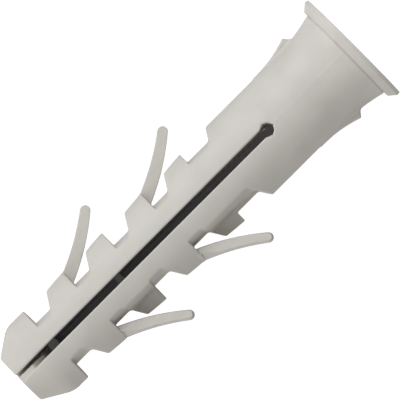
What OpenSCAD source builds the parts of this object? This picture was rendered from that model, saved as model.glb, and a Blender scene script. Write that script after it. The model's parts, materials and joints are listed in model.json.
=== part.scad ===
// Expansion wall plug with a collar, two spreading legs and four folding wings.
// Z is the plug's axis. The collar's front face is at z = 0 and the tip points down.
// X is the direction in which the legs spread. The slot between them runs front to back, along Y.
// Depths are measured down from the collar's front face.

/* [Body] */
// Length from the collar's front face to the tip
plug_len = 50; // [49.6:0.1:50.6]
// Radius of the body, a light press fit in the drilled hole
body_r = 5.05; // [5:0.01:5.1]
// Depth at which the plain body ends and the barbed part begins
body_end = 17.2; // [16.8:0.1:17.4]
// Radius of the straight screw bore
bore_r = 3.5; // [3.2:0.1:3.7]
// Length of the straight screw bore
bore_len = 11; // [9:0.5:11.5]
// Radius of the narrow channel between the legs
channel_r = 1.3; // [1.1:0.05:1.4]

/* [Collar] */
// Radius of the collar's rim
collar_r = 6.92; // [6.7:0.02:7.2]
// Thickness of the collar
collar_h = 1.15; // [1:0.05:1.3]
// Height of the rim's straight edge
rim_h = 0.4; // [0.3:0.05:0.5]
// Radius of the collar's underside, where its chamfer ends
seat_r = 6.28; // [6.2:0.02:6.4]
// Radius of the neck where it meets the collar
neck_r = 5.8; // [5.6:0.05:5.9]
// Depth of the recess in the collar's underside that takes the sleeve's end
socket = 0.15; // [0.1:0.05:0.3]
// Depth at which the neck's flare runs out into the body
flare_end = 6.8; // [6:0.1:7.4]
// How much thicker the body still is there than where the fins end
draft = 0.01; // [0.01:0.01:0.03]

/* [Fins] */
// Radius of the two anti-turn fins at their highest point
fin_r = 5.92; // [5.7:0.02:6.1]
// Thickness of a fin
fin_w = 1.6; // [1.2:0.1:2]
// Depth of the fin's highest point
fin_peak = 4.8; // [4.6:0.1:5]
// Depth at which the fin runs out into the body
fin_end = 10; // [9:0.5:10]

/* [Slot] */
// Width of the slot between the legs
slot_w = 0.95; // [0.8:0.05:1.05]
// Radius of the round hole at the slot's end
keyhole_r = 0.72; // [0.65:0.01:0.8]
// Depth of the slot's end, where the legs flex
slot_top = 12.8; // [12.6:0.1:13]
// Thickness of the web that closes the slot at the back
web_h = 0.3; // [0.2:0.05:0.4]

/* [Teeth] */
// Depth of the first tooth's square flank
tooth_start = 21.2; // [21.1:0.05:21.3]
// Distance from one tooth to the next
tooth_pitch = 5.87; // [5.84:0.01:5.9]
// Length of a tooth's outer face
tooth_land = 2.6; // [2.4:0.05:2.7]
// Radius of a tooth at its square flank
tooth_r = 5.02; // [4.95:0.01:5.02]
// Radius of a tooth at its sloping flank
tooth_low_r = 4.68; // [4.6:0.02:4.8]
// Length of a sloping flank
ramp = 0.95; // [0.85:0.05:1.05]
// Height of the gap floors above the axis
gap_floor = 3.05; // [2.95:0.01:3.1]
// Height of the floor of the first, shallow gap
neck_floor = 3.75; // [3.6:0.05:3.85]
// Radius of the crown across every floor
crown_r = 14.8; // [13:0.2:17]

/* [Nose] */
// Radius of the nose before it tapers
nose_r = 4.93; // [4.85:0.01:5]
// Depth at which the nose starts to taper
nose_taper = 47.25; // [47:0.05:47.5]
// Radius of the flat tip
tip_r = 3.05; // [2.9:0.05:3.2]

/* [Wings] */
// Distance of the upper wings' centre line from the axis at the root
wing_x = 4.2; // [4.19:0.01:4.21]
// How much closer to the axis the lower wings start
wing_step = 0.12; // [0.1:0.01:0.12]
// Slope of a wing away from the axis at its root
root_slope = 23; // [22.8:0.1:23]
// Slope of a wing at its tip
tip_slope = 38.6; // [38.4:0.1:38.8]
// Length of a wing's centre line
wing_len = 7.39; // [7.2:0.05:7.4]
// Thickness of a wing at its root
wing_root_t = 1.52; // [1.45:0.01:1.52]
// Thickness of a wing at its tip
wing_tip_t = 1.14; // [1.1:0.01:1.14]
// Distance from the slot's middle plane to a wing's outer side
wing_out = 2.75; // [2.6:0.05:2.8]
// Gap between a wing and the rib beside it
wing_gap = 0.12; // [0.1:0.01:0.15]
// Angle by which a wing folds in at its root
fold = 24; // [23.8:0.1:24.2]
// Further angle by which its outer half straightens
flex = 9; // [8.8:0.1:9.2]

/* [Hidden] */

$fn = 96;
nylon = [0.8, 0.79, 0.76];
far = 8;

// Depths of the five square flanks, and the channel's shape below the bore
function flank(i) = tooth_start + i * tooth_pitch;
nose_top = flank(4);
cone_end = 24;
channel_end = nose_top - 0.1;
channel_tip = channel_end - 1.3;
cone_at_slot = bore_r - (bore_r - channel_r) * (slot_top - bore_len) / (cone_end - bore_len);

// The front half of each right leg is cut lower, so that a folded wing has room
wing_floor_upper = 3.38;
wing_floor_lower = 3.26;

// A wing's centre line is an arc, so its slope gives the place along it
bend_r = wing_len / ((tip_slope - root_slope) * PI / 180);
joint_slope = root_slope + (tip_slope - root_slope) * 0.46;
arc_steps = 8;
function wing_half(a) =
    (wing_root_t + (wing_tip_t - wing_root_t) * (a - root_slope) / (tip_slope - root_slope)) / 2;
function spine(x, a) = [x + bend_r * (cos(root_slope) - cos(a)), bend_r * (sin(a) - sin(root_slope))];
function inner_edge(x, a) = spine(x, a) - wing_half(a) * [cos(a), -sin(a)];
function outer_edge(x, a) = spine(x, a) + wing_half(a) * [cos(a), -sin(a)];
function steps(a, b) = [for (i = [0 : arc_steps]) a + (b - a) * i / arc_steps];
function wing_end(x, turn) =
    spine(x, tip_slope) + wing_half(tip_slope) * [sin(tip_slope + turn), cos(tip_slope + turn)];
function root_pivot(x) = [x - wing_half(root_slope) / cos(root_slope), 0];

// An outline in X and Z, made solid from y0 to y1
module slab(y0, y1) {
    translate([0, y1, 0])
        rotate([90, 0, 0])
            linear_extrude(y1 - y0)
                children();
}

// The left side is the right side turned half way round the axis
module left_side() {
    rotate([0, 0, 180]) children();
}

// The neck's flare is a concave arc. A slight draft below it ends where the fins end.
flare_low_r = body_r + draft;
flare_r = (pow(flare_end - collar_h, 2) + pow(neck_r - flare_low_r, 2)) / (2 * (neck_r - flare_low_r));
flare_sweep = asin((flare_end - collar_h) / flare_r);
function flare_point(a) = [flare_low_r + flare_r * (1 - cos(a)), -flare_end + flare_r * sin(a)];
neck = concat([for (a = steps(flare_sweep, 0)) flare_point(a)], [[body_r, -fin_end]]);

module sleeve_outline() {
    polygon(concat(
        [[bore_r, socket - collar_h], [neck_r, socket - collar_h]],
        neck,
        [[body_r, -slot_top], [cone_at_slot, -slot_top], [bore_r, -bore_len]]
    ));
}

// The cylinder is turned about its own axis so that its seam lies clear of the slot's end
module keyhole() {
    translate([0, 0, -slot_top])
        rotate([0, 45, 0])
            rotate([90, 0, 0])
                cylinder(r = keyhole_r, h = 2 * far, center = true);
}

module collar() {
    color(nylon)
        rotate_extrude()
            polygon([
                [bore_r, 0], [collar_r, 0], [collar_r, -rim_h],
                [seat_r, -collar_h], [neck_r, -collar_h],
                [neck_r, socket - collar_h], [bore_r, socket - collar_h]
            ]);
}

module sleeve() {
    color(nylon)
        difference() {
            rotate_extrude() sleeve_outline();
            keyhole();
        }
}

// A fin's run-out is an arc that meets the body tangentially
run_r = (pow(fin_end - fin_peak, 2) + pow(fin_r - body_r, 2)) / (2 * (fin_r - body_r));
run_sweep = asin((fin_end - fin_peak) / run_r);
function run_point(a) = [body_r + run_r * (1 - cos(a)), -fin_end + run_r * sin(a)];

module fin() {
    color(nylon)
        difference() {
            slab(-fin_w / 2, fin_w / 2)
                polygon(concat(
                    [[body_r - 0.5, -fin_end], [body_r - 0.5, 0.7 - fin_peak], [body_r, 0.7 - fin_peak]],
                    [for (a = steps(run_sweep, 0)) run_point(a)]
                ));
            rotate_extrude()
                polygon(concat(neck, [[body_r, -slot_top], [0, -slot_top], [0, -collar_h]]));
        }
}

module fin_right() fin();
module fin_left() left_side() fin();

// Half a round floor: everything nearer the axis than the crowned surface stays
module below_floor(height) {
    translate([height - crown_r, 0, -plug_len - 1])
        cylinder(r = crown_r, h = plug_len + 2);
}

// The space between a sloping flank that starts at depth a and a square flank at depth b
module gap_outline(a, b, height) {
    lean = ramp / (tooth_low_r - height);
    inside = height - 1.3;
    polygon([
        [far, -a + lean * (far - tooth_low_r)],
        [inside, -a - lean * (tooth_low_r - inside)],
        [inside, -b],
        [far, -b]
    ]);
}

module gap(a, b, height, y0 = -far, y1 = far) {
    difference() {
        slab(y0, y1) gap_outline(a, b, height);
        below_floor(height);
    }
}

module leg_outline() {
    polygon(concat(
        [[cone_at_slot, -slot_top], [body_r, -slot_top], [body_r, -body_end]],
        [for (i = [0 : 3], end = [0, 1])
            end == 0 ? [tooth_r, -flank(i)] : [tooth_low_r, -flank(i) - tooth_land]],
        [[tooth_low_r, -nose_top], [0, -nose_top], [0, -channel_end], [channel_r, -channel_tip]],
        [[channel_r, -cone_end]]
    ));
}

module right_of_slot() {
    translate([slot_w / 2, -far, -plug_len - 1])
        cube([far, 2 * far, plug_len + 2]);
}

module leg() {
    color(nylon)
        difference() {
            intersection() {
                rotate_extrude() leg_outline();
                right_of_slot();
            }
            keyhole();
            gap(body_end, tooth_start, neck_floor);
            for (i = [0 : 3])
                gap(flank(i) + tooth_land, flank(i + 1), gap_floor);
            gap(body_end, flank(1) - 1.2, wing_floor_upper, -far, 0);
            difference() {
                slab(-far, 0)
                    translate([1.6, -flank(3) + 1.2])
                        square([far, flank(3) - flank(2) - 0.7]);
                below_floor(wing_floor_lower);
            }
        }
}

module leg_right() leg();
module leg_left() left_side() leg();

module nose() {
    color(nylon)
        intersection() {
            rotate_extrude()
                polygon([
                    [0, -nose_top], [nose_r, -nose_top], [nose_r, -nose_taper],
                    [tip_r + 0.12, -plug_len + 0.18], [tip_r, -plug_len], [0, -plug_len]
                ]);
            right_of_slot();
        }
}

module nose_right() nose();
module nose_left() left_side() nose();

// A gusset stands on one leg's slot face at the tip and stops short of the other leg
gusset_top = 46.2;
gusset_reach = 0.1;

module tip_gusset() {
    color(nylon)
        translate([-gusset_reach, 0, 0])
            rotate([90, 0, 90])
                linear_extrude(slot_w / 2 + gusset_reach)
                    polygon([
                        [-0.02, -plug_len], [-tip_r + 0.1, -plug_len], [-3.45, -48.9],
                        [-2.9, -47.4], [-0.6, -gusset_top], [-0.02, -gusset_top]
                    ]);
}

module tip_gusset_right() tip_gusset();
module tip_gusset_left() left_side() tip_gusset();

// The web lies just outside the channel, on the back side, and closes the keyhole as well
web_clear = 0.03;
keyhole_clear = 0.06;

module slot_web() {
    top = slot_top - keyhole_r + keyhole_clear;
    inside_top = bore_r - (bore_r - channel_r) * (top - bore_len) / (cone_end - bore_len) + 0.05;
    inside = channel_r + 0.05;
    color(nylon)
        intersection() {
            translate([-far, 0, 0])
                rotate([90, 0, 90])
                    linear_extrude(2 * far)
                        polygon([
                            [inside_top, -top], [inside_top + web_h, -top], [inside + web_h, -cone_end],
                            [inside + web_h, -gusset_top], [inside, -gusset_top], [inside, -cone_end]
                        ]);
            union() {
                slab(0, far)
                    translate([-slot_w / 2, -plug_len])
                        square([slot_w - web_clear, plug_len - slot_top]);
                slab(0, far)
                    translate([0, -slot_top])
                        circle(r = keyhole_r - keyhole_clear);
            }
        }
}

// Two short links cross the slot in front of the channel
link_depths = [35, 44.85];
link_h = [0.8, 1.1];

module slot_links() {
    color(nylon)
        for (i = [0, 1])
            translate([-slot_w / 2, -channel_r - 1.3, -link_depths[i] - link_h[i] / 2])
                cube([slot_w - web_clear, 1.2, link_h[i]]);
}

// Turns about the root pivot and the joint of a wing, from folded back to open
module unfold_base(x) {
    translate([root_pivot(x)[0], 0, 0])
        rotate([0, fold, 0])
            translate([-root_pivot(x)[0], 0, 0])
                children();
}

module unfold_blade(x) {
    hinge = inner_edge(x, joint_slope);
    translate([hinge[0], 0, hinge[1]])
        rotate([0, flex, 0])
            translate([-hinge[0], 0, -hinge[1]])
                unfold_base(x) children();
}

// Folded wings lie inside this cylinder, clear of the hole's wall
module hole_space() {
    cylinder(r = body_r - 0.07, h = 4 * far, center = true);
}

module wing_base(x, depth) {
    slopes = steps(root_slope, joint_slope);
    tail = [sin(root_slope), cos(root_slope)];
    color(nylon)
        translate([0, 0, -depth])
            intersection() {
                slab(-wing_out, -wing_gap)
                    intersection() {
                        polygon(concat(
                            [inner_edge(x, root_slope) - tail],
                            [for (a = slopes) inner_edge(x, a)],
                            [for (a = steps(joint_slope, root_slope)) outer_edge(x, a)],
                            [outer_edge(x, root_slope) - tail]
                        ));
                        square([far, far]);
                    }
                unfold_base(x) hole_space();
            }
}

module wing_blade(x, depth) {
    color(nylon)
        translate([0, 0, -depth])
            intersection() {
                slab(-wing_out, -wing_gap)
                    polygon(concat(
                        [for (a = steps(joint_slope, tip_slope)) inner_edge(x, a)],
                        [for (turn = [-75 : 15 : 75]) wing_end(x, turn)],
                        [for (a = steps(tip_slope, joint_slope)) outer_edge(x, a)]
                    ));
                unfold_blade(x) hole_space();
            }
}

module wing_base_right_upper() wing_base(wing_x, flank(1));
module wing_base_right_lower() wing_base(wing_x - wing_step, flank(3));
module wing_base_left_upper() left_side() wing_base(wing_x, flank(1));
module wing_base_left_lower() left_side() wing_base(wing_x - wing_step, flank(3));
module wing_blade_right_upper() wing_blade(wing_x, flank(1));
module wing_blade_right_lower() wing_blade(wing_x - wing_step, flank(3));
module wing_blade_left_upper() left_side() wing_blade(wing_x, flank(1));
module wing_blade_left_lower() left_side() wing_blade(wing_x - wing_step, flank(3));

collar();
sleeve();
fin_right();
fin_left();
leg_right();
leg_left();
nose_right();
nose_left();
tip_gusset_right();
tip_gusset_left();
slot_web();
slot_links();
wing_base_right_upper();
wing_base_right_lower();
wing_base_left_upper();
wing_base_left_lower();
wing_blade_right_upper();
wing_blade_right_lower();
wing_blade_left_upper();
wing_blade_left_lower();
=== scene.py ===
"""A collared nylon wall plug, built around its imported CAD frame.

Each moulded shape is a distance field in millimetres, so that its edges and corners get true
radii. A surface net turns the field into a mesh. Depths are measured down from the collar's face.
In a field, xs and ys are x and y turned so that the leg at hand is the right-hand one.
"""
import json
import math
from itertools import product

import bmesh
import bpy
import numpy as np
from mathutils import Matrix, Vector


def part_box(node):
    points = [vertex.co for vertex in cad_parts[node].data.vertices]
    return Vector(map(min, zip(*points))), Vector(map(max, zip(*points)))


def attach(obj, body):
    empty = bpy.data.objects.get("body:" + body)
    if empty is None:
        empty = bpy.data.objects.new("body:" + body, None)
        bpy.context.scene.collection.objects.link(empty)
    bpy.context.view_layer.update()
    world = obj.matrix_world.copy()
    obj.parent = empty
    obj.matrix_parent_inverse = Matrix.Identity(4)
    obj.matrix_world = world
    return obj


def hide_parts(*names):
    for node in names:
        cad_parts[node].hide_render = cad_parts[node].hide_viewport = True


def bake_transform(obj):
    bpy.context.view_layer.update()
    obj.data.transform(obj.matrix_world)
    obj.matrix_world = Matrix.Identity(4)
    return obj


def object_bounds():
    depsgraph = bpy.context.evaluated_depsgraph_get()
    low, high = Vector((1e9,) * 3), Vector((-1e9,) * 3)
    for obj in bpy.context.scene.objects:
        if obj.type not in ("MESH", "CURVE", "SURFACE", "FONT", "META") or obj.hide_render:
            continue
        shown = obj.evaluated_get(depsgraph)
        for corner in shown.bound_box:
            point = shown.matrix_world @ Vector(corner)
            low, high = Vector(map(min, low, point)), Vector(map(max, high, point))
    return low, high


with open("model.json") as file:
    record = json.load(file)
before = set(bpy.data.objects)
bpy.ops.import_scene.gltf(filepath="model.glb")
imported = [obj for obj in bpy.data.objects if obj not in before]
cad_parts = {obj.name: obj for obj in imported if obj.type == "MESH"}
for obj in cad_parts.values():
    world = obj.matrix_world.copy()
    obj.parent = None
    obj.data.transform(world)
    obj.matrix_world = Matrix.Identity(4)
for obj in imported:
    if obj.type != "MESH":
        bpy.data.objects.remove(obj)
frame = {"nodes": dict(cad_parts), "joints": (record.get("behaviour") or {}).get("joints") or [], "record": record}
cad_low, cad_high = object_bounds()

# ---------------------------------------------------------------- sizes, in millimetres
MM = 0.001
MOUNTS = {m["name"]: m for m in frame["record"]["mounts"]}
JOINTS = {j["name"]: j for j in frame["joints"]}


def lowest(name, axis):
    """Where the box of a CAD node starts along an axis."""
    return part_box(name)[0][axis] / MM


def highest(name, axis):
    """Where the box of a CAD node ends along an axis."""
    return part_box(name)[1][axis] / MM


def joint_mm(name):
    """Where a joint stands."""
    return [v / MM for v in JOINTS[name]["pos_m"]]


PLUG_LEN = -lowest("nose_right", 2)
CLEAR = 1.0  # takes a profile well past the plug, where it must not cut

# The collar, its chamfered underside and the fine groove under it
COLLAR_R = highest("collar", 0)
COLLAR_H = -lowest("collar", 2)
RIM_H = 0.4
SEAT_R = 6.28
SEAM_DEPTH = 0.1
SEAM_STEP = 0.02
SEAM_END = 1.35

# The sleeve, its flared neck and the bore
NECK_R = highest("sleeve", 0)
NECK_POINTS = 25
FLARE_END = 6.8
BODY_R = MOUNTS["wall_hole"]["dims"]["r_mm"]
BODY_END = 17.2
BORE_R = MOUNTS["screw_bore"]["dims"]["r_mm"]
BORE_LEN = MOUNTS["screw_bore"]["dims"]["length_mm"]
CHANNEL_R = 1.3
CHANNEL_STOP = 0.1
CONE_END = 24.0
PARTING_LINE = 0.02
PARTING_WIDTH = 0.1

FIN_R = highest("fin_right", 0)
FIN_HALF = highest("fin_right", 1)
FIN_END = -lowest("fin_right", 2)
FIN_PEAK = 4.8
FIN_TOP = 4.1

# The slot, the hole at its end, the web in it and the shade on its walls
SLOT_TOP = -joint_mm("right_leg_spread")[2]
SLOT_HALF = 0.475
KEYHOLE_R = 0.72
KEYHOLE_POINT = 0.86
WEB_SLICES = 9
WEB_END = 0.9
WEB_SPREAD = 1.28
WEB_RISE = 0.35
SHADE_BAND = 0.06
SHADE_R = 4.85
SHADE_R_FADE = 0.4
SHADE_END = 47.0
SHADE_END_FADE = 1.5

# The teeth. Each has a leaning flank towards the collar and a square one towards the tip.
FLANK_1 = -joint_mm("right_upper_wing_fold")[2]
FLANK_3 = -joint_mm("right_lower_wing_fold")[2]
PITCH = (FLANK_3 - FLANK_1) / 2
FLANKS = [FLANK_1 + (i - 1) * PITCH for i in range(5)]
NOSE_TOP = FLANKS[4]
LAND = 2.6
TOOTH_R = 5.02
TOOTH_LOW_R = 4.68
TOOTH_STEP = 0.1
LEAN = 0.58
NECK_FLOOR = 3.75
GAP_FLOOR = 3.05
CROWN_R = 14.8

# The room for the folded wings
WING_FLOORS = {"upper": 3.38, "lower": 3.26}
ROOM_START = 0.5
ROOM_STOP = 1.2

# The nose, and the ridge of the gusset in the slot at the tip
NOSE_R = highest("nose_right", 0)
TIP_R = 3.05
NOSE_TAPERS = {"right": (46.9, 4.87), "left": (47.3, 4.93)}
GUSSET_DEPTHS = [45.1, 46.4, 48.0, PLUG_LEN]
GUSSET_HEIGHTS = [-0.2, 2.9, 3.9, TIP_R - 0.1]
GUSSET_SCALE = 0.5  # keeps the field near its steep ridge close to a distance
GUSSET_REACH = 0.1
GUSSET_SPLIT = 0.12
GUSSET_SETBACK = 0.02

# The wings: thickness and slope at the root and at the end, width from the middle plane outward
WING_THICK = (1.52, 1.14)
WING_SLOPES = (23.0, 38.6)
WING_LEN = 7.39
WING_NEAR = 0.12
WING_FAR = 2.75
WING_DRAFT = 0.13
WING_BEND = 1.3
FOLD = JOINTS["right_upper_wing_fold"]["range_deg"][1]

# The rounded outer face of a wing near its root, and the knuckle that it turns on
WING_RADIUS = 4.98
ROUND_LIMIT = 3.5
ROUND_FADE = 2.2
ROUND_SHARE = 0.85
KNUCKLE_SPARE = 3
KNUCKLE_PLAY = 0.03
KNUCKLE_TOP = 0.01

# Radii of the rounded edges and fillets
ROUND = {
    "bore_mouth": 0.15, "collar_rim": 0.07, "collar_under": 0.1, "collar_seat": 0.04,
    "fin_ridge": 0.08, "fin_side": 0.15, "fin_foot": 0.25,
    "tooth_top": 0.3, "nose_shoulder": 0.35, "nose_end": 0.12,
    "gap_floor": 0.3, "gap_end": 0.15, "gap_rim": 0.12, "room_side": 0.12,
    "keyhole": 0.2, "slot_rim": 0.2, "gusset": 0.08, "wing": 0.09,
}


# ---------------------------------------------------------------- distance fields
def round_min(a, b, radius):
    """The union of two fields, with a fillet where they meet."""
    return np.maximum(radius, np.minimum(a, b)) - np.hypot(
        np.maximum(radius - a, 0), np.maximum(radius - b, 0)
    )


def round_max(a, b, radius):
    """What two fields share, with a rounded edge where they meet."""
    return np.minimum(-radius, np.maximum(a, b)) + np.hypot(
        np.maximum(radius + a, 0), np.maximum(radius + b, 0)
    )


def neck_profile():
    """Depths and radii of the neck's concave flare, an arc that meets the body tangentially."""
    drop, width = FLARE_END - COLLAR_H, NECK_R - BODY_R
    flare_r = (drop**2 + width**2) / (2 * width)
    depths = np.linspace(COLLAR_H, FLARE_END, NECK_POINTS)
    return depths, BODY_R + flare_r - np.sqrt(flare_r**2 - (FLARE_END - depths) ** 2)


def outer_profile():
    """Depths and radii of the outline that turns about the axis, down to the nose."""
    depths, radii = neck_profile()
    depths = [*depths, BODY_END, FLANKS[0], NOSE_TOP, PLUG_LEN + CLEAR]
    return depths, [*radii, BODY_R, TOOTH_R, NOSE_R, NOSE_R]


def tooth_profile():
    """Depths and half widths of the tooth tops, which slope in towards the tip."""
    outside = BODY_R + CLEAR
    depths, widths = [FLANKS[0] - TOOTH_STEP], [outside]
    for flank in FLANKS[:4]:
        depths += [flank, flank + LAND]
        widths += [TOOTH_R, TOOTH_LOW_R]
    depths += [NOSE_TOP - 2 * TOOTH_STEP, NOSE_TOP - TOOTH_STEP]
    return depths, widths + [TOOTH_LOW_R, outside]


def bore_profile():
    """Depths and radii of the bore, the cone under it and the channel, which ends in a point."""
    channel_end = NOSE_TOP - CHANNEL_STOP
    channel_tip = channel_end - CHANNEL_R
    return (
        [0, BORE_LEN, CONE_END, channel_tip, channel_end],
        [BORE_R, BORE_R, CHANNEL_R, CHANNEL_R, 0],
    )


OUTER = outer_profile()
TEETH = tooth_profile()
BORE = bore_profile()


def fin(x, y, d):
    """The two anti-turn fins: a steep front and a long run-out that meets the body tangentially."""
    run, height = FIN_END - FIN_PEAK, FIN_R - BODY_R
    run_r = (run**2 + height**2) / (2 * height)
    ramp_out = np.abs(x) - BODY_R - run_r + np.sqrt(
        np.maximum(run_r**2 - np.clip(FIN_END - d, 0, run) ** 2, 0)
    )
    rise = (FIN_PEAK - FIN_TOP) / (FIN_R - BODY_R)
    front = (FIN_TOP + rise * (np.abs(x) - BODY_R) - d) / math.hypot(1, rise)
    length = np.maximum(front, d - FIN_END)
    outline = round_max(ramp_out, length, ROUND["fin_ridge"])
    return round_max(outline, np.abs(y) - FIN_HALF, ROUND["fin_side"])


def nose_taper(x, r, d):
    """The tapering end, a little blunter on one side than on the other."""
    fields = []
    for start, radius in (NOSE_TAPERS["right"], NOSE_TAPERS["left"]):
        slope = (radius - TIP_R) / (PLUG_LEN - start)
        fields.append((r - radius + slope * (d - start)) / math.hypot(1, slope))
    taper = np.where(x > 0, fields[0], fields[1])
    return round_max(taper, d - PLUG_LEN, ROUND["nose_end"])


def above_floor(xs, ys, height):
    """The space above a crowned floor at this height over the axis."""
    return CROWN_R - np.hypot(xs - height + CROWN_R, ys)


def gap(xs, ys, d, start, end, height):
    """The space between a leaning flank that starts at one depth and a square one at another."""
    edge = np.interp(start, *OUTER) if start < FLANKS[0] else TOOTH_LOW_R
    sloping = (start + LEAN * (edge - xs) - d) / math.hypot(1, LEAN)
    space = round_max(sloping, above_floor(xs, ys, height), ROUND["gap_floor"])
    return round_max(space, d - end, ROUND["gap_end"])


def wing_room(xs, ys, d):
    """Where the front half of a leg is cut lower, so that a folded wing has room."""
    upper = gap(xs, ys, d, BODY_END, FLANKS[1] - ROOM_STOP, WING_FLOORS["upper"])
    lower = np.maximum(FLANKS[2] - ROOM_START - d, above_floor(xs, ys, WING_FLOORS["lower"]))
    lower = round_max(lower, d - FLANKS[3] + ROOM_STOP, ROUND["gap_end"])
    return round_max(np.minimum(upper, lower), ys, ROUND["room_side"])


def slot(x, d):
    """The slot between the legs, with the round and slightly pointed hole at its end."""
    straight = np.maximum(np.abs(x) - SLOT_HALF, SLOT_TOP - d)
    ring = np.hypot(x, d - SLOT_TOP) - KEYHOLE_R
    point = np.maximum((np.abs(x) + SLOT_TOP - d - KEYHOLE_POINT) / math.sqrt(2), d - SLOT_TOP)
    return round_min(straight, np.minimum(ring, point), ROUND["keyhole"])


def tip_gusset(xs, ys, d):
    """A rib in the slot at the tip, flush with the nose and falling away towards the channel."""
    ridge = np.interp(d, GUSSET_DEPTHS, GUSSET_HEIGHTS)
    tall = (-ys - ridge) * GUSSET_SCALE
    across = np.maximum(-GUSSET_REACH - xs, xs - SLOT_HALF - GUSSET_REACH)
    rib = round_max(np.maximum(tall, ys + GUSSET_SPLIT), across, ROUND["gusset"])
    return round_max(rib, d - PLUG_LEN + GUSSET_SETBACK, ROUND["gusset"])


def plug(x, y, z):
    """Sleeve, fins, legs, teeth and nose as one field."""
    d, r = -z, np.hypot(x, y)
    side = np.where(x < 0, -1.0, 1.0)
    xs, ys = x * side, y * side
    parting = PARTING_LINE * np.exp(-((x / PARTING_WIDTH) ** 2))
    solid = r - np.interp(d, *OUTER) - np.where(d < SLOT_TOP, parting, 0)
    solid = round_max(solid, xs - np.interp(d, *TEETH), ROUND["tooth_top"])
    solid = round_min(solid, fin(x, y, d), ROUND["fin_foot"])
    solid = round_max(solid, nose_taper(x, r, d), ROUND["nose_shoulder"])
    starts = [BODY_END] + [flank + LAND for flank in FLANKS[:4]]
    floors = [NECK_FLOOR] + [GAP_FLOOR] * 4
    gaps = [gap(xs, ys, d, *sizes) for sizes in zip(starts, FLANKS, floors)]
    cuts = np.minimum(np.minimum.reduce(gaps), wing_room(xs, ys, d))
    solid = round_max(solid, -cuts, ROUND["gap_rim"])
    solid = round_max(solid, -slot(x, d), ROUND["slot_rim"])
    solid = np.maximum(solid, np.interp(d, *BORE) - r)
    for turn in (1, -1):
        solid = np.minimum(solid, tip_gusset(x * turn, y * turn, d))
    return np.maximum(solid, COLLAR_H - d)


def wing_round(y, along):
    """How far a wing's outer face falls off to the sides: round at the root, flat further on."""
    inner = np.clip(y, -ROUND_LIMIT, ROUND_LIMIT)
    fall = WING_RADIUS - np.sqrt(WING_RADIUS**2 - inner**2)
    fade = np.clip(along / ROUND_FADE, 0, 1)
    return fall * (ROUND_SHARE * (1 - fade * fade * (3 - 2 * fade)))


def wing(level):
    """The field of the right-hand wing at this level. The left-hand one is turned half round."""
    pivot = joint_mm(f"right_{level}_wing_fold")
    bend_r = WING_LEN / math.radians(WING_SLOPES[1] - WING_SLOPES[0])
    root = math.radians(WING_SLOPES[0])
    root_width = WING_THICK[0] / math.cos(root)
    centre_x = pivot[0] + root_width / 2 + bend_r * math.cos(root)
    centre_z = pivot[2] - bend_r * math.sin(root)
    swing = math.radians(FOLD + KNUCKLE_SPARE)

    def knuckle(x, z, fall):
        """A round sector about the pivot, which stays in the leg and fills the folded corner."""
        right, down = x - pivot[0], pivot[2] - z
        sector = np.hypot(right, down) - root_width + fall + KNUCKLE_PLAY
        sector = np.maximum(sector, down * math.cos(swing) - right * math.sin(swing))
        return np.maximum(sector, -down - KNUCKLE_TOP)

    def field(x, y, z):
        across, up = centre_x - x, z - centre_z
        along = bend_r * (np.arctan2(up, across) - root)
        outward = bend_r - np.hypot(across, up)
        share = np.clip(along / WING_LEN, 0, 1)
        fall = wing_round(y, along)
        draft = WING_DRAFT * np.clip((-y - WING_NEAR) / (WING_FAR - WING_NEAR), 0, 1)
        thick = WING_THICK[0] + (WING_THICK[1] - WING_THICK[0]) * share - fall - 2 * draft
        strip = np.hypot(outward + fall / 2, np.maximum(along - WING_LEN, 0)) - thick / 2
        strip = np.maximum(strip, pivot[2] - z)
        sides = np.abs(y + (WING_NEAR + WING_FAR) / 2) - (WING_FAR - WING_NEAR) / 2
        return round_max(np.minimum(strip, knuckle(x, z, fall)), sides, ROUND["wing"])

    return field


# ---------------------------------------------------------------- meshing
PLUG_STEP = 0.13
PLUG_SPACE = ((-6.3, -6.3, -PLUG_LEN - 0.4), (6.3, 6.3, 0.3 - COLLAR_H))
WING_STEP = 0.07
SETTLE_REACH = 0.02
SETTLE_SLOPE = 0.05  # the least squared slope, so that no point runs off where a field is flat
NORMAL_REACH = 0.03
FLAT_COSINE = 0.35
CUT_TOLERANCE = 1e-9


def gradient(field, points, reach):
    """The field's slope at each point, by central differences."""
    slopes = []
    for axis in range(3):
        step = np.zeros(3)
        step[axis] = reach
        ahead, behind = field(*(points + step).T), field(*(points - step).T)
        slopes.append((ahead - behind) / (2 * reach))
    return np.stack(slopes, axis=1)


def unit(vectors):
    """The vectors at length one."""
    return vectors / np.maximum(np.linalg.norm(vectors, axis=1, keepdims=True), 1e-9)


def sampled(field, low, high, step):
    """The field on a grid, worked out a slab at a time to save memory."""
    axes = [np.arange(low[i], high[i] + step, step) for i in range(3)]
    return np.stack([
        field(*np.meshgrid(axes[0][i : i + 1], axes[1], axes[2], indexing="ij"))[0]
        for i in range(len(axes[0]))
    ])


def net_points(values):
    """A point in each grid cell that the surface crosses, counted in cells, and their numbers."""
    inside = values < 0
    n = np.array(values.shape) - 1
    corner = {
        c: tuple(slice(c[i], c[i] + n[i]) for i in range(3)) for c in product((0, 1), repeat=3)
    }
    count = sum(inside[s].astype(np.int8) for s in corner.values())
    active = (count > 0) & (count < 8)
    cells = np.argwhere(active)
    number = np.full(active.shape, -1)
    number[active] = np.arange(len(cells))
    total, crossings = np.zeros((len(cells), 3)), np.zeros(len(cells))
    for a, axis in product(corner, range(3)):
        if a[axis] == 1:
            continue
        b = tuple(1 if i == axis else a[i] for i in range(3))
        va, vb = values[corner[a]][active], values[corner[b]][active]
        crosses = (va < 0) != (vb < 0)
        place = np.tile(np.array(a, float), (len(cells), 1))
        place[:, axis] = np.where(crosses, va / np.where(crosses, va - vb, 1), 0)
        total += place * crosses[:, None]
        crossings += crosses
    return cells + total / crossings[:, None], number


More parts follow.
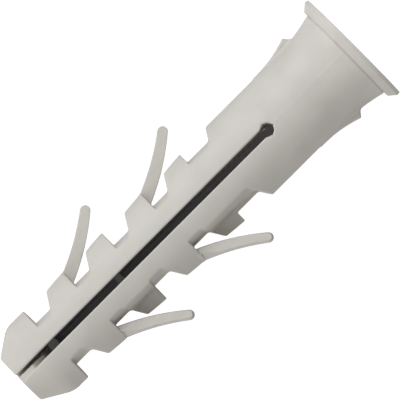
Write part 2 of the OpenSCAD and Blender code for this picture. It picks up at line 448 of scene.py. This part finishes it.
def net_quads(values, number):
    """A quad across each grid edge that the surface crosses, facing outward."""
    inside = values < 0
    n = np.array(values.shape) - 1
    quads = []
    for axis in range(3):
        u, v = (axis + 1) % 3, (axis + 2) % 3
        take = [slice(1, m) for m in n]
        take[axis] = slice(0, n[axis])
        ahead = list(take)
        ahead[axis] = slice(1, n[axis] + 1)
        here, there = inside[tuple(take)], inside[tuple(ahead)]
        for outward in (True, False):
            edges = np.argwhere((here != there) & (here == outward))
            edges = edges + [0 if i == axis else 1 for i in range(3)]
            ring = []
            for du, dv in ((1, 1), (0, 1), (0, 0), (1, 0)):
                cell = edges.copy()
                cell[:, u] -= du
                cell[:, v] -= dv
                ring.append(number[tuple(cell.T)])
            quads.append(np.stack(ring if outward else ring[::-1], axis=1))
    return np.concatenate(quads)


def settle(field, points, step, rounds=5):
    """Moves each point onto the zero surface."""
    for _ in range(rounds):
        slope = gradient(field, points, SETTLE_REACH)
        size = np.maximum((slope**2).sum(axis=1, keepdims=True), SETTLE_SLOPE)
        move = -field(*points.T)[:, None] * slope / size
        points = points + np.clip(move, -step / 2, step / 2)
    return points


def mesh_from(name, field, low, high, step):
    """The surface net of a field, as a mesh in metres."""
    values = sampled(field, low, high, step)
    cells, number = net_points(values)
    points = settle(field, cells * step + np.array(low), step)
    mesh = bpy.data.meshes.new(name)
    mesh.from_pydata(points * MM, [], net_quads(values, number).tolist())
    mesh.validate()
    return mesh


def opened(mesh):
    """An editable copy of a mesh."""
    bm = bmesh.new()
    bm.from_mesh(mesh)
    return bm


def closed(bm, name):
    """A new mesh from an editable one, which is freed."""
    mesh = bpy.data.meshes.new(name)
    bm.to_mesh(mesh)
    bm.free()
    return mesh


def slice_at(bm, depth, **clear):
    """Cuts the faces at a depth and clears a side if asked to. Gives the edges of the cut."""
    made = bmesh.ops.bisect_plane(
        bm, geom=bm.verts[:] + bm.edges[:] + bm.faces[:], dist=CUT_TOLERANCE,
        plane_co=(0, 0, -depth * MM), plane_no=(0, 0, 1), **clear,
    )
    return [e for e in made["geom_cut"] if isinstance(e, bmesh.types.BMEdge)]


def cut(mesh, name, depth, keep_above):
    """The part of a mesh above or below a depth, closed with a flat face."""
    bm = opened(mesh)
    rim = slice_at(bm, depth, clear_inner=keep_above, clear_outer=not keep_above)
    bmesh.ops.triangle_fill(bm, use_beauty=True, edges=rim)
    bmesh.ops.recalc_face_normals(bm, faces=bm.faces)
    return closed(bm, name)


def right_and_left(mesh):
    """The two separate shells of a mesh, by which side of the slot each lies on."""
    shells = []
    for sign, name in ((1, "leg_right_shell"), (-1, "leg_left_shell")):
        bm = opened(mesh)
        bm.verts.ensure_lookup_table()
        seed = max(bm.verts, key=lambda v: v.co.x * sign)
        found, front = {seed}, [seed]
        while front:
            near = {e.other_vert(v) for v in front for e in v.link_edges} - found
            found |= near
            front = list(near)
        bmesh.ops.delete(bm, geom=[v for v in bm.verts if v not in found], context="VERTS")
        shells.append(closed(bm, name))
    return shells


def points_of(mesh):
    """The mesh's points, in millimetres."""
    points = np.empty(len(mesh.vertices) * 3)
    mesh.vertices.foreach_get("co", points)
    return points.reshape(-1, 3) / MM


def set_normals(mesh, field):
    """Takes the shading normals from the field, except on the flat faces of a cut."""
    normals = unit(gradient(field, points_of(mesh), NORMAL_REACH))
    corners = np.empty(len(mesh.loops), int)
    mesh.loops.foreach_get("vertex_index", corners)
    faces = np.empty(len(mesh.polygons) * 3)
    mesh.polygons.foreach_get("normal", faces)
    sizes = np.empty(len(mesh.polygons), int)
    mesh.polygons.foreach_get("loop_total", sizes)
    flat = np.repeat(faces.reshape(-1, 3), sizes, axis=0)
    smooth = normals[corners]
    away = (flat * smooth).sum(axis=1) < FLAT_COSINE
    mesh.normals_split_custom_set(np.where(away[:, None], flat, smooth).tolist())


def linked(name, data):
    """A new object, in the scene."""
    made = bpy.data.objects.new(name, data)
    bpy.context.scene.collection.objects.link(made)
    return made


def add(mesh, field=None):
    """A new object with smooth shading, which follows the field if there is one."""
    piece = linked(mesh.name, mesh)
    mesh.shade_smooth()
    if field is not None:
        set_normals(mesh, field)
    return piece


# ---------------------------------------------------------------- turned parts
LATHE_SEGMENTS = 160
LATHE_SHARP = math.radians(32)


def rounded(outline, radii, pieces=6):
    """A closed outline with an arc of the given radius at each corner."""
    made = []
    for i, corner in enumerate(outline):
        if not radii[i]:
            made.append(Vector(corner))
            continue
        here = Vector(corner)
        back = (Vector(outline[i - 1]) - here).normalized()
        ahead = (Vector(outline[(i + 1) % len(outline)]) - here).normalized()
        half = back.angle(ahead) / 2
        centre = here + (back + ahead).normalized() * radii[i] / math.sin(half)
        first = here + back * radii[i] / math.tan(half) - centre
        last = here + ahead * radii[i] / math.tan(half) - centre
        made += [centre + first.slerp(last, k / pieces) * radii[i] for k in range(pieces + 1)]
    return made


def lathe(name, outline):
    """A closed outline of radius and height, turned about the Z axis."""
    bm = bmesh.new()
    rings = []
    for k in range(LATHE_SEGMENTS):
        a = 2 * math.pi * k / LATHE_SEGMENTS
        rings.append([
            bm.verts.new((p.x * math.cos(a) * MM, p.x * math.sin(a) * MM, p.y * MM))
            for p in outline
        ])
    for k, ring in enumerate(rings):
        other = rings[(k + 1) % LATHE_SEGMENTS]
        for i in range(len(outline)):
            j = (i + 1) % len(outline)
            bm.faces.new((ring[i], other[i], other[j], ring[j]))
    bmesh.ops.recalc_face_normals(bm, faces=bm.faces)
    mesh = closed(bm, name)
    mesh.set_sharp_from_angle(angle=LATHE_SHARP)
    return mesh


# ---------------------------------------------------------------- material
NYLON_DARK = (0.553, 0.530, 0.490)
NYLON_LIGHT = (0.602, 0.580, 0.538)
NYLON_RANGE = (0.3, 0.7)
NYLON_ROUGHNESS = (0.48, 0.66)
PLAIN = (1, 1, 1)
# Tints that stand in for the deep shade in the slot
SLOT_PAINTED_SHADE = (0.6, 0.6, 0.68)
LINK_PAINTED_SHADE = (0.42, 0.42, 0.46)
WEB_PAINTED_SHADE = (0.8, 0.8, 0.88)
# The Mix node's colour sockets, which share their names with its number sockets
MIX_A, MIX_B, MIX_RESULT = 6, 7, 2


def node(tree, kind, **settings):
    """A new node. Each setting is the value of an input or, failing that, a property."""
    made = tree.nodes.new(kind)
    for name, value in settings.items():
        if name in made.inputs:
            made.inputs[name].default_value = value
        else:
            setattr(made, name, value)
    return made


def noise(tree, place, scale, detail, stretch=PLAIN, turn=0.0):
    """Noise with about this many bumps a millimetre, drawn out where stretch is small."""
    mapping = node(tree, "ShaderNodeMapping", Rotation=(0, math.radians(turn), 0))
    mapping.inputs["Scale"].default_value = [s / MM for s in stretch]
    tree.links.new(place, mapping.inputs["Vector"])
    made = node(tree, "ShaderNodeTexNoise", Scale=scale, Detail=detail)
    tree.links.new(mapping.outputs["Vector"], made.inputs["Vector"])
    return made.outputs["Fac"]


def ranged(tree, value, low, high):
    """A value from 0 to 1, mapped to a range."""
    made = node(tree, "ShaderNodeMapRange", **{"To Min": low, "To Max": high})
    tree.links.new(value, made.inputs["Value"])
    return made.outputs["Result"]


def bump(tree, height, strength, depth, under=None):
    """A bump this many millimetres deep, on top of another one if given."""
    made = node(tree, "ShaderNodeBump", Strength=strength, Distance=depth * MM)
    tree.links.new(height, made.inputs["Height"])
    if under is not None:
        tree.links.new(under, made.inputs["Normal"])
    return made.outputs["Normal"]


def nylon_colour(tree, mottle, flow, streaks, painted_shade_tint):
    """The mottled and streaked colour, with painted shade where the mesh is marked as a wall of the slot."""
    tone = node(tree, "ShaderNodeMix", data_type="FLOAT", Factor=streaks)
    tree.links.new(mottle, tone.inputs["A"])
    tree.links.new(flow, tone.inputs["B"])
    ramp = tree.nodes.new("ShaderNodeValToRGB")
    stops = zip(ramp.color_ramp.elements, NYLON_RANGE, (NYLON_DARK, NYLON_LIGHT))
    for stop, position, colour in stops:
        stop.position = position
        stop.color = [c * t for c, t in zip(colour, painted_shade_tint)] + [1]
    tree.links.new(tone.outputs["Result"], ramp.inputs["Fac"])
    walls = node(tree, "ShaderNodeAttribute", attribute_name="shade")
    dim = node(tree, "ShaderNodeMix", data_type="RGBA", blend_type="MULTIPLY")
    tree.links.new(walls.outputs["Fac"], dim.inputs["Factor"])
    tree.links.new(ramp.outputs["Color"], dim.inputs[MIX_A])
    dim.inputs[MIX_B].default_value = (*SLOT_PAINTED_SHADE, 1)
    return dim.outputs[MIX_RESULT]


def nylon(name, turn=0.0, streaks=0.15, painted_shade_tint=PLAIN):
    """Light warm grey moulded nylon: mottled, lightly grained and streaked along the flow. A painted shade tint,
    if given, darkens the whole material.
    """
    material = bpy.data.materials.new(name)
    material.use_nodes = True
    tree = material.node_tree
    shader = tree.nodes["Principled BSDF"]
    shader.inputs["IOR"].default_value = 1.53
    shader.inputs["Specular IOR Level"].default_value = 0.35
    place = tree.nodes.new("ShaderNodeTexCoord").outputs["Object"]
    mottle = noise(tree, place, scale=0.35, detail=4.0)
    flow = noise(tree, place, scale=2.2, detail=3.0, stretch=(1, 1, 0.08), turn=turn)
    grain = noise(tree, place, scale=9.0, detail=2.0)
    fine = bump(tree, grain, strength=0.10, depth=0.05)
    surface = {
        "Base Color": nylon_colour(tree, mottle, flow, streaks, painted_shade_tint),
        "Roughness": ranged(tree, grain, *NYLON_ROUGHNESS),
        "Normal": bump(tree, flow, strength=streaks * 0.5, depth=0.08, under=fine),
    }
    for socket, value in surface.items():
        tree.links.new(value, shader.inputs[socket])
    return material


def mark_slot_walls(piece):
    """Stores which points lie on the slot's walls, where shade is painted into the colour."""
    x, y, z = points_of(piece.data).T
    on_wall = np.abs(slot(x, -z)) < SHADE_BAND
    depth = np.clip((SHADE_R - np.hypot(x, y)) / SHADE_R_FADE, 0, 1)
    depth = depth * np.clip((SHADE_END + z) / SHADE_END_FADE, 0, 1)
    shade = piece.data.attributes.new("shade", "FLOAT", "POINT")
    shade.data.foreach_set("value", (on_wall * depth).astype(np.float32))


def finish_piece(piece, material):
    """Gives a piece its only material."""
    piece.data.materials.clear()
    piece.data.materials.append(material)


# ---------------------------------------------------------------- pieces
def make_collar():
    """The collar, with a chamfered underside, and the fine groove under it."""
    groove_r = NECK_R - SEAM_DEPTH
    seam_r = np.interp(SEAM_END, *OUTER)
    outline = [
        (BORE_R, 0), (COLLAR_R, 0), (COLLAR_R, -RIM_H), (SEAT_R, -COLLAR_H),
        (groove_r, -COLLAR_H), (groove_r, -COLLAR_H - SEAM_STEP),
        (seam_r, -SEAM_END), (BORE_R, -SEAM_END),
    ]
    edges = ("bore_mouth", "collar_rim", "collar_under", "collar_seat")
    radii = [ROUND[edge] for edge in edges] + [0] * 4
    collar = add(lathe("collar_ring", rounded(outline, radii)))
    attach(collar, "body")
    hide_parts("collar")
    return collar


def make_shells():
    """The sleeve and the two legs, cut from one mesh so that their seam can't be seen."""
    whole = mesh_from("plug", plug, *PLUG_SPACE, PLUG_STEP)
    upper = cut(whole, "upper", SLOT_TOP, True)
    sleeve = add(cut(upper, "sleeve_shell", SEAM_END, False), plug)
    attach(sleeve, "body")
    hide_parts("sleeve", "fin_right", "fin_left")
    pieces = [sleeve]
    legs = right_and_left(cut(whole, "legs", SLOT_TOP, False))
    for side, mesh in zip(("right", "left"), legs):
        leg = add(mesh, plug)
        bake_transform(leg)
        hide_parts(f"leg_{side}", f"nose_{side}", f"tip_gusset_{side}")
        pieces.append(leg)
    for piece in pieces:
        mark_slot_walls(piece)
    return pieces


def make_slot_web():
    """The thin web that closes the slot. Its round end is let into the sleeve."""
    bm = opened(frame["nodes"]["slot_web"].data)
    for depth in np.linspace(SLOT_TOP, BODY_END, WEB_SLICES):
        slice_at(bm, depth)
    bmesh.ops.remove_doubles(bm, verts=bm.verts, dist=1e-7)
    for v in bm.verts:
        if v.co.z > -(SLOT_TOP + WEB_END) * MM:
            v.co.x *= WEB_SPREAD
            v.co.z += WEB_RISE * MM
    web = linked("slot_web_strip", closed(bm, "slot_web_strip"))
    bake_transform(web)
    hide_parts("slot_web")
    return web


def wing_mesh(level, field):
    """The mesh of the right-hand wing at this level, and the two ends of its bend."""
    root = joint_mm(f"right_{level}_wing_fold")
    tip = highest(f"wing_blade_right_{level}", 0), highest(f"wing_blade_right_{level}", 2)
    low = (root[0] - 0.4, -WING_FAR - 0.3, root[2] - 1.2)
    high = (tip[0] + 0.5, 0.3, tip[1] + 0.5)
    mesh = mesh_from(f"wing_{level}", field, low, high, WING_STEP)
    bend = Vector(joint_mm(f"right_{level}_wing_flex"))
    slope = math.radians(sum(WING_SLOPES) / 2)
    run = Vector((math.sin(slope), 0, math.cos(slope))) * WING_BEND
    return mesh, (bend - run, bend + run)


def make_wings():
    """Four wings. Each ends in a knuckle at its root."""
    made = []
    for level in ("upper", "lower"):
        field = wing(level)
        mesh, bend = wing_mesh(level, field)
        for side, turn in (("right", 1), ("left", -1)):
            piece = add(mesh.copy(), field)
            piece.name = f"wing_{side}_{level}"
            if side == "left":
                piece.data.transform(Matrix.Rotation(math.pi, 4, "Z"))
            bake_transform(piece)
            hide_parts(f"wing_base_{side}_{level}", f"wing_blade_{side}_{level}")
            made.append((piece, side))
    return made


# ---------------------------------------------------------------- stage
VIEW_TURN = math.radians(2.57)
LENS = 1000.0
SENSOR = 36.0
VIEW_WIDTH = 42.46 * MM
AIM = Vector((0, 0, -23.07 * MM))
VIEW_CLIP = (0.05, 50)  # metres

LIGHT_DISTANCE = 0.5
SKY_SEEN = 1.05
SKY_GLOW = 0.24
SKY_COLOUR = (1.0, 0.985, 0.96, 1)
FLOOR_R = 1.5
FLOOR_GAP = 0.05 * MM
FLOOR_COLOUR = (0.4, 0.4, 0.4, 1)
FLOOR_GLOW = (0.63, 1.0)  # onto the plug, and to the camera
WHITE = (1, 1, 1, 1)


def make_camera():
    """Looks across the plug, rolled so that the plug lies along the picture's diagonal."""
    data = bpy.data.cameras.new("camera")
    data.lens, data.sensor_width = LENS, SENSOR
    data.clip_start, data.clip_end = VIEW_CLIP
    camera = linked("camera", data)
    back = Vector((math.sin(VIEW_TURN), -math.cos(VIEW_TURN), 0))
    level = Vector((math.cos(VIEW_TURN), math.sin(VIEW_TURN), 0))
    right = (level + Vector((0, 0, 1))).normalized()
    turned = Matrix((right, back.cross(right), back)).transposed()
    place = AIM + back * VIEW_WIDTH * LENS / SENSOR
    camera.matrix_world = Matrix.Translation(place) @ turned.to_4x4()
    bpy.context.scene.camera = camera


def area_light(name, direction, size, power, colour):
    """A soft round light that shines on the plug from this direction."""
    data = bpy.data.lights.new(name, "AREA")
    data.shape, data.size, data.energy, data.color = "DISK", size, power, colour
    light = linked(name, data)
    away = Vector(direction).normalized()
    light.location = AIM + away * LIGHT_DISTANCE
    light.rotation_euler = away.to_track_quat("Z", "Y").to_euler()


def make_world():
    """White to the camera, and a dimmer, warmer light from all round on the plug."""
    world = bpy.data.worlds.new("studio")
    bpy.context.scene.world = world
    world.use_nodes = True
    tree = world.node_tree
    seen = tree.nodes["Background"]
    seen.inputs["Color"].default_value = WHITE
    seen.inputs["Strength"].default_value = SKY_SEEN
    lit = node(tree, "ShaderNodeBackground", Color=SKY_COLOUR, Strength=SKY_GLOW)
    mix = tree.nodes.new("ShaderNodeMixShader")
    path = tree.nodes.new("ShaderNodeLightPath")
    tree.links.new(path.outputs["Is Camera Ray"], mix.inputs["Fac"])
    tree.links.new(lit.outputs["Background"], mix.inputs[1])
    tree.links.new(seen.outputs["Background"], mix.inputs[2])
    tree.links.new(mix.outputs["Shader"], tree.nodes["World Output"].inputs["Surface"])


def make_floor():
    """A wide pale floor under the tip. It glows a little more to the camera than to the plug."""
    bm = bmesh.new()
    bmesh.ops.create_circle(bm, cap_ends=True, segments=96, radius=FLOOR_R)
    floor = linked("floor", closed(bm, "floor"))
    floor.location.z = cad_low.z - FLOOR_GAP
    material = bpy.data.materials.new("pale_floor")
    material.use_nodes = True
    tree = material.node_tree
    shader = tree.nodes["Principled BSDF"]
    shader.inputs["Base Color"].default_value = FLOOR_COLOUR
    shader.inputs["Roughness"].default_value = 0.9
    shader.inputs["Emission Color"].default_value = WHITE
    path = tree.nodes.new("ShaderNodeLightPath")
    glow = ranged(tree, path.outputs["Is Camera Ray"], *FLOOR_GLOW)
    tree.links.new(glow, shader.inputs["Emission Strength"])
    floor.data.materials.append(material)


bpy.context.scene.view_settings.view_transform = "Standard"
make_camera()
make_world()
make_floor()
COOL, WARM = (0.955, 0.985, 1.0), (1.0, 0.99, 0.97)
area_light("key", direction=(-0.75, -0.66, 0.0), size=0.33, power=2.25, colour=COOL)
area_light("top", direction=(0.05, -0.1, 1.0), size=0.4, power=0.5, colour=WARM)
area_light("fill", direction=(0.5, -0.87, 0.05), size=0.35, power=0.2, colour=WARM)

plain = nylon("nylon")
for piece in [make_collar()] + make_shells():
    finish_piece(piece, plain)
streaked = {
    "right": nylon("nylon_right_wings", turn=31, streaks=0.6),
    "left": nylon("nylon_left_wings", turn=-31, streaks=0.6),
}
for piece, side in make_wings():
    finish_piece(piece, streaked[side])
# The web and the links in the slot get darker copies of the nylon: painted shade.
finish_piece(make_slot_web(), nylon("nylon_painted_shade_in_slot", painted_shade_tint=WEB_PAINTED_SHADE))
links = frame["nodes"]["slot_links"]
links.data.materials.clear()
links.data.materials.append(nylon("nylon_painted_shade_links", painted_shade_tint=LINK_PAINTED_SHADE))
